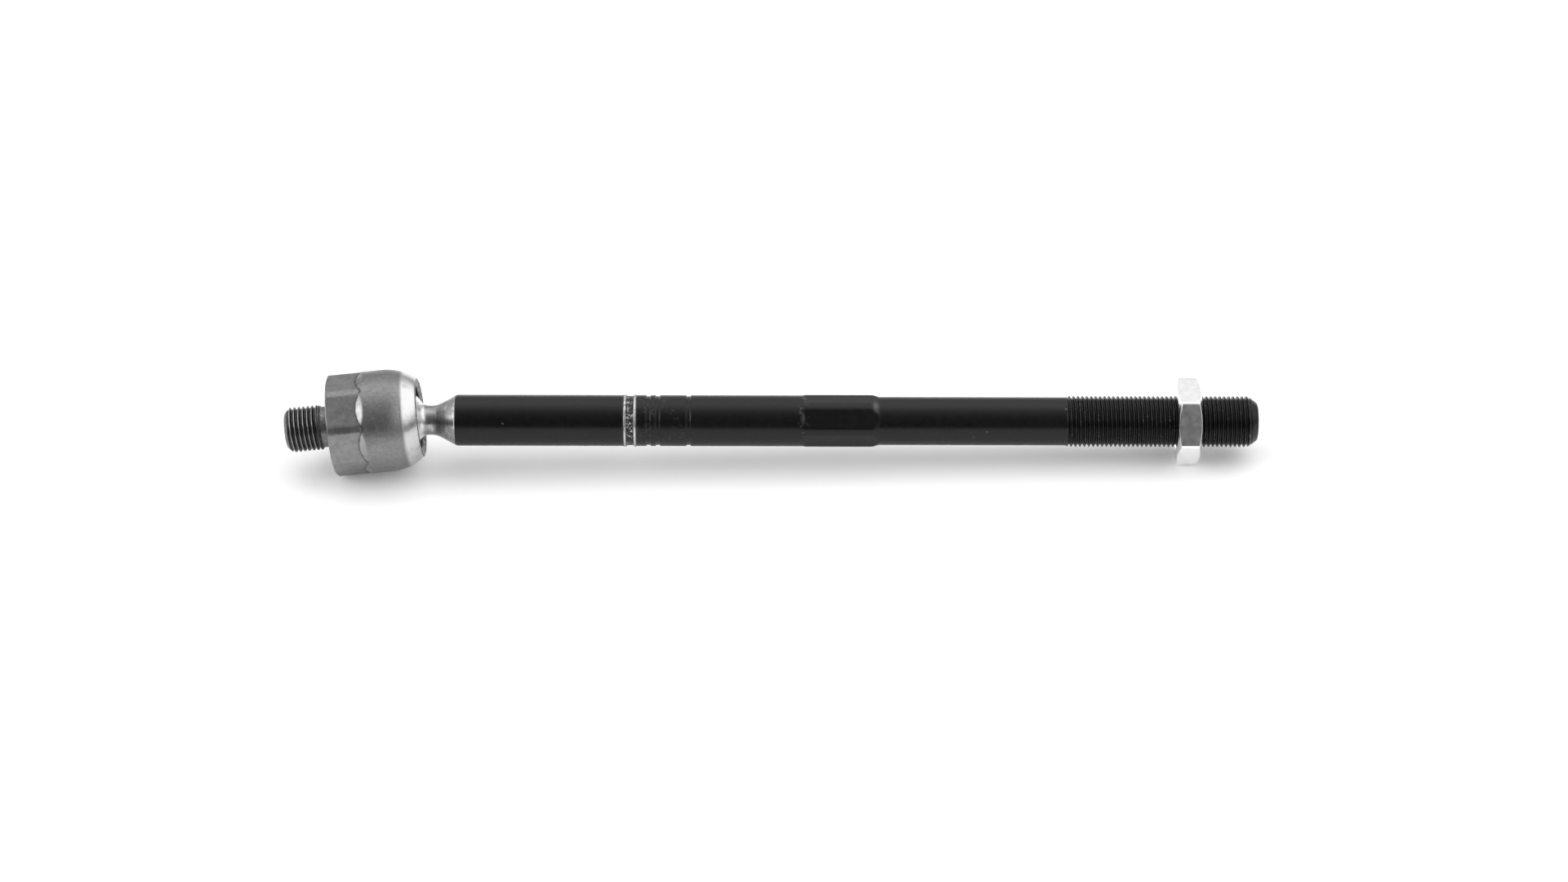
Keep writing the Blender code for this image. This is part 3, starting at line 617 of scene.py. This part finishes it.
# Turned and lightly oiled steel: clear grey reflections crossed by fine lines round the axis. The flare
# towards the ball is polished and brighter.
def turnedSteel():
    material, tree, shader = newMaterial("steelTurned", metallic=1.0)
    polished = addNode(tree, "Attribute", attribute_name="mark").outputs["Fac"]
    lines, stains = turningLines(tree, 0.35), patches(tree, 1.8, 3.0)
    shade = addNode(tree, "Mix", {"Factor": lines, "A": "#989898", "B": "#b4b4b4"}, data_type="RGBA")
    colour = addNode(tree, "Mix", {"Factor": stains, "A": "#8c8c8c", "B": shade}, data_type="RGBA")
    colour = addNode(tree, "Mix", {"Factor": polished, "A": colour, "B": "#ececec"}, data_type="RGBA")
    connect(tree, shader, "Base Color", colour)
    connect(tree, shader, "Roughness",
            addNode(tree, "MapRange", {"Value": stains, "To Min": 0.34, "To Max": 0.24}))
    emboss(tree, shader, (lines, 0.006))
    return material


# Black coat baked on steel: satin and close to black, with sparse grey dust and rubbed spots, and worn to
# grey in places along the thread's crests. The same grey is also painted on as highlights: a spot on one
# corner of the grip at the taper, and rings at the thread's start and on the tip's chamfer.
def blackCoat():
    material, tree, shader = newMaterial("steelBlackCoated")
    shader.inputs["IOR"].default_value = 1.38
    ridge = addNode(tree, "Attribute", attribute_name="ridge").outputs["Fac"]
    paintedHighlightSpot = addNode(tree, "Attribute", attribute_name="zone").outputs["Fac"]
    # mark: the scuffs near the band and at the grip's start, and the painted highlight rings at the thread's
    # ends
    scuffsAndEndHighlights = addNode(tree, "Attribute", attribute_name="mark").outputs["Fac"]
    place = addNode(tree, "TexCoord").outputs["Object"]
    cells = addNode(tree, "TexVoronoi", {"Vector": place, "Scale": 1 / (5.5 * mm)}).outputs
    near = addNode(tree, "MapRange", {"Value": cells["Distance"], "From Min": 0.085, "From Max": 0.05})
    lot = addNode(tree, "SeparateColor", {0: cells["Color"]}).outputs[0]
    chosen = addNode(tree, "MapRange", {"Value": lot, "From Min": 0.7, "From Max": 0.72})
    speck = addNode(tree, "Math", {0: near, 1: chosen}, operation="MULTIPLY")
    dust = addNode(tree, "Math", {0: speck, 1: patches(tree, 0.5, low=0.4, high=0.6)},
                   operation="MULTIPLY")
    crest = addNode(tree, "MapRange", {"Value": ridge, "From Min": 0.85})
    rubbedAndHighlit = addNode(tree, "Math", {0: crest, 1: patches(tree, 1.1, 3.0, low=0.58, high=0.72)},
                     operation="MULTIPLY")
    patchyScuffsAndEndHighlights = addNode(tree, "Math", {0: scuffsAndEndHighlights, 1: patches(tree, 1.4, 4.0, low=0.58, high=0.7)},
                     operation="MULTIPLY")
    # The painted highlights join the rubbed crests here and take the same grey.
    for wearAndHighlight in (patchyScuffsAndEndHighlights, paintedHighlightSpot):
        rubbedAndHighlit = addNode(tree, "Math", {0: rubbedAndHighlit, 1: wearAndHighlight}, operation="MAXIMUM")
    dusty = addNode(tree, "Mix", {"Factor": dust, "A": "#060606", "B": "#5c5c5c"}, data_type="RGBA")
    colour = addNode(tree, "Mix", {"Factor": rubbedAndHighlit, "A": dusty, "B": "#525252"}, data_type="RGBA")
    connect(tree, shader, "Base Color", colour)
    connect(tree, shader, "Roughness",
            addNode(tree, "MapRange", {"Value": patches(tree, 2.5, 3.0), "To Min": 0.27, "To Max": 0.34}))
    emboss(tree, shader, (patches(tree, 0.9), 0.005))
    return material


# The marked band: scraped bright crests on both ridges, and between them a rough dark bed with pale scratches
# that wander and spell nothing.
def markedBand():
    material, tree, shader = newMaterial("steelMarkedBand")
    ridge = addNode(tree, "Attribute", attribute_name="ridge").outputs["Fac"]
    onBed = addNode(tree, "Attribute", attribute_name="zone").outputs["Fac"]
    place = addNode(tree, "TexCoord").outputs["Object"]
    wander = addNode(tree, "TexNoise", {"Vector": place, "Scale": 1 / (1.1 * mm), "Detail": 1.0})
    offMiddle = addNode(tree, "Math", {0: wander.outputs["Fac"], 1: 0.5}, operation="SUBTRACT")
    apart = addNode(tree, "Math", {0: offMiddle}, operation="ABSOLUTE")
    line = addNode(tree, "MapRange", {"Value": apart, "From Min": 0.055, "From Max": 0.02})
    kept = addNode(tree, "Math", {0: onBed, 1: patches(tree, 1.6, low=0.4, high=0.6)},
                   operation="MULTIPLY")
    scratches = addNode(tree, "Math", {0: line, 1: kept}, operation="MULTIPLY")
    scraped = addNode(tree, "Math", {0: ridge, 1: patches(tree, 1.5, low=0.2, high=0.45)},
                      operation="MULTIPLY")
    metal = addNode(tree, "Math", {0: scratches, 1: scraped}, operation="MAXIMUM")
    dark = addNode(tree, "Mix", {"Factor": onBed, "A": "#060606", "B": "#141414"}, data_type="RGBA")
    colour = addNode(tree, "Mix", {"Factor": metal, "A": dark, "B": "#c8c8c8"}, data_type="RGBA")
    connect(tree, shader, "Base Color", colour)
    connect(tree, shader, "Metallic", metal)
    connect(tree, shader, "Roughness",
            addNode(tree, "MapRange", {"Value": onBed, "To Min": 0.32, "To Max": 0.5}))
    emboss(tree, shader, (patches(tree, 0.4, 3.0), 0.03))
    return material


# Bright zinc plate: near white and smooth, with faint cloudy patches.
def zincPlate():
    material, tree, shader = newMaterial("steelBrightZincPlate", metallic=1.0)
    cloud = patches(tree, 2.2, 3.0)
    colour = addNode(tree, "Mix", {"Factor": cloud, "A": "#f2f2f2", "B": "#fafafa"}, data_type="RGBA")
    connect(tree, shader, "Base Color", colour)
    connect(tree, shader, "Roughness",
            addNode(tree, "MapRange", {"Value": cloud, "To Min": 0.14, "To Max": 0.22}))
    emboss(tree, shader, (patches(tree, 1.4), 0.0012))
    return material


# Moulded bearing plastic: dull, with the faint grain of the mould.
def mouldedPlastic(name, first, second):
    material, tree, shader = newMaterial(name)
    colour = addNode(tree, "Mix", {"Factor": patches(tree, 0.8), "A": first, "B": second},
                     data_type="RGBA")
    connect(tree, shader, "Base Color", colour)
    connect(tree, shader, "Roughness",
            addNode(tree, "MapRange", {"Value": patches(tree, 1.5), "To Min": 0.42, "To Max": 0.55}))
    emboss(tree, shader, (patches(tree, 0.3), 0.004))
    return material


# The order of a piece's materials is that of the numbers in its blocks.
for piece, materials in (
    (socketPiece, (shotBlastedSteel(), rolledRimSteel(), rolledThreadSteel(),
                   greasySteel("steelGreasyLip", "#606060", "#909090"))),
    (rodPiece, (blackCoat(), turnedSteel(), markedBand(),
                # the ball's dark colours are grease and painted shade for the inside of the mouth
                greasySteel("steelGreasyBallPaintedShade", "#303030", "#4c4c4c"))),
    (nutPiece, (zincPlate(),)),
    (frame["nodes"]["bearing_ring"], (mouldedPlastic("plasticBearingMoulded", "#1e1e1e", "#2c2c2c"),)),
    (frame["nodes"]["ball_seat"], (mouldedPlastic("plasticSeatMoulded", "#a8a8a4", "#bcbcb8"),)),
):
    numbers = [face.material_index for face in piece.data.polygons]
    piece.data.materials.clear()
    for material in materials:
        piece.data.materials.append(material)
    numbers = np.minimum(numbers, len(materials) - 1).astype(np.int32)
    piece.data.polygons.foreach_set("material_index", numbers)
print("finishes assigned")

studio = {
    "floorColour": "#fdfdfd", "floorSize": 6.0, "floorRoughness": 0.9, "floorGlow": 0.14,
    # brightness of the room round the rod's length: degrees up from the front, over the top, to the back
    "room": ((-2, 0.55), (4, 0.15), (20, 0.15), (45, 0.22), (60, 0.33), (75, 0.62), (90, 1.1), (100, 1.55),
             (112, 1.95), (124, 1.8), (138, 1.25), (152, 0.85), (180, 0.6)),
    "roomLevel": 0.88,
    # the soft box past the stud: where it begins and is full, and the degrees in which it comes and goes
    "leftLight": 3.3, "leftAcross": (-0.5, -0.64), "leftFrom": (36, 50), "leftTo": (80, 94),
    # the soft box past the nut, dimmer near the floor and straight along the rod
    "rightLight": 1.8, "rightAcross": (0.22, 0.5), "rightHeight": (0.16, 0.54), "rightLow": 0.12,
    "rightEnd": (0.88, 0.97), "rightEndShare": 0.3,
}


# The floor glows a little for what sees it directly or as a mirror image, so it is white past the shadow.
def buildFloor():
    half = studio["floorSize"] / 2
    mesh = bpy.data.meshes.new("floor")
    mesh.from_pydata([(-half, -half, 0), (half, -half, 0), (half, half, 0), (-half, half, 0)], [],
                     [(0, 1, 2, 3)])
    floor = bpy.data.objects.new("floor", mesh)
    bpy.context.scene.collection.objects.link(floor)
    material, tree, shader = newMaterial("paintedBoardMatt", roughness=studio["floorRoughness"])
    shader.inputs["Base Color"].default_value = linearColour(studio["floorColour"])
    shader.inputs["Specular IOR Level"].default_value = 0.0
    shader.inputs["Emission Color"].default_value = (1.0, 1.0, 1.0, 1.0)
    lightPath = addNode(tree, "LightPath").outputs
    mirrored = addNode(tree, "Math", {0: lightPath["Is Glossy Ray"], 1: lightPath["Is Transmission Ray"]},
                       operation="MAXIMUM")
    seen = addNode(tree, "Math", {0: lightPath["Is Camera Ray"], 1: mirrored}, operation="MAXIMUM")
    glow = addNode(tree, "Math", {0: seen, 1: studio["floorGlow"]}, operation="MULTIPLY")
    connect(tree, shader, "Emission Strength", glow)
    mesh.materials.append(material)


# The matrix of something that stands at a place and looks along a direction, its local Y near up.
def lookingAlong(place, direction, up):
    back = -np.array(direction, float)
    right = np.cross(up, back)
    right /= np.linalg.norm(right)
    upward = np.cross(back, right)
    matrix = Matrix.Identity(4)
    for column, values in enumerate((right, upward, back, place)):
        for row in range(3):
            matrix[row][column] = values[row]
    return matrix


# The room: its brightness depends on the angle round the rod's length, and a soft box stands past each end.
def buildWorld():
    world = bpy.data.worlds.new("studio")
    bpy.context.scene.world = world
    world.use_nodes = True
    tree = world.node_tree
    tree.nodes.clear()
    direction = addNode(tree, "TexCoord").outputs["Generated"]
    across, back, height = addNode(tree, "SeparateXYZ", {0: direction}).outputs
    front = addNode(tree, "Math", {0: back, 1: -1.0}, operation="MULTIPLY")
    angle = addNode(tree, "Math", {0: height, 1: front}, operation="ARCTAN2")
    first, last = math.radians(studio["room"][0][0]), math.pi
    share = addNode(tree, "MapRange", {"Value": angle, "From Min": first, "From Max": last})
    ramp = addNode(tree, "ValToRGB", {"Fac": share})
    top = max(value for degrees, value in studio["room"])
    for number, (degrees, value) in enumerate(studio["room"]):
        place = (math.radians(degrees) - first) / (last - first)
        stops = ramp.color_ramp.elements
        stop = stops[number] if number < 2 else stops.new(place)
        stop.position, stop.color = place, (value / top,) * 3 + (1.0,)
    lit = addNode(tree, "Math", {0: ramp.outputs["Color"], 1: top * studio["roomLevel"]},
                  operation="MULTIPLY")
    none, full = studio["leftAcross"]
    onLeft = addNode(tree, "MapRange", {"Value": across, "From Min": none, "From Max": full})
    for none, full in (studio["leftFrom"], studio["leftTo"][::-1]):
        inside = addNode(tree, "MapRange", {"Value": angle, "From Min": math.radians(none),
                                            "From Max": math.radians(full)})
        onLeft = addNode(tree, "Math", {0: onLeft, 1: inside}, operation="MULTIPLY")
    none, full = studio["rightAcross"]
    onRight = addNode(tree, "MapRange", {"Value": across, "From Min": none, "From Max": full})
    near, far = studio["rightEnd"]
    pastEnd = addNode(tree, "MapRange", {"Value": across, "From Min": near, "From Max": far, "To Min": 1.0,
                                         "To Max": studio["rightEndShare"]})
    onRight = addNode(tree, "Math", {0: onRight, 1: pastEnd}, operation="MULTIPLY")
    low, high = studio["rightHeight"]
    rightFade = addNode(tree, "MapRange", {"Value": height, "From Min": low, "From Max": high,
                                           "To Min": studio["rightLow"]})
    rightBox = addNode(tree, "Math", {0: rightFade, 1: studio["rightLight"]}, operation="MULTIPLY")
    for share, light in ((onLeft, studio["leftLight"]), (onRight, rightBox)):
        lit = addNode(tree, "Mix", {"Factor": share, "A": lit, "B": light})
    direct = addNode(tree, "LightPath").outputs["Is Camera Ray"]
    strength = addNode(tree, "Mix", {"Factor": direct, "A": lit, "B": 1.0})
    background = addNode(tree, "Background", {"Strength": strength})
    background.inputs["Color"].default_value = (1.0, 1.0, 1.0, 1.0)
    addNode(tree, "OutputWorld", {"Surface": background})


buildFloor()
buildWorld()

# The photograph's camera. Its focal length is in pixels of the 1920 x 1080 image.
camera = {
    "distance": 1.33293, "aim": (0.00439, 0.0, 0.00747), "elevationDegrees": 36.3, "turnDegrees": 0.5,
    "rollDegrees": -1.08, "focalPixels": 4610.0, "imageWidth": 1920.0, "sensorWidth": 36.0,
    "clip": (0.05, 50.0),
}


# The camera stands its distance back from the aim, turned to the right, raised, and rolled about its view.
def buildCamera():
    turn, rise, roll = (math.radians(camera[name])
                        for name in ("turnDegrees", "elevationDegrees", "rollDegrees"))
    back = np.array([math.sin(turn) * math.cos(rise), -math.cos(turn) * math.cos(rise), math.sin(rise)])
    right = np.array([math.cos(turn), math.sin(turn), 0.0])
    upward = np.cross(back, right)
    rolledUp = math.cos(roll) * upward - math.sin(roll) * right
    data = bpy.data.cameras.new("camera")
    data.sensor_width = camera["sensorWidth"]
    data.lens = camera["focalPixels"] / camera["imageWidth"] * data.sensor_width
    data.clip_start, data.clip_end = camera["clip"]
    seat = bpy.data.objects.new("camera", data)
    bpy.context.scene.collection.objects.link(seat)
    place = np.array(camera["aim"]) + camera["distance"] * back
    seat.matrix_world = lookingAlong(place, -back, rolledUp)
    bpy.context.scene.camera = seat


buildCamera()
bpy.context.scene.view_settings.view_transform = "Standard"
print("floor, lights and camera ready")
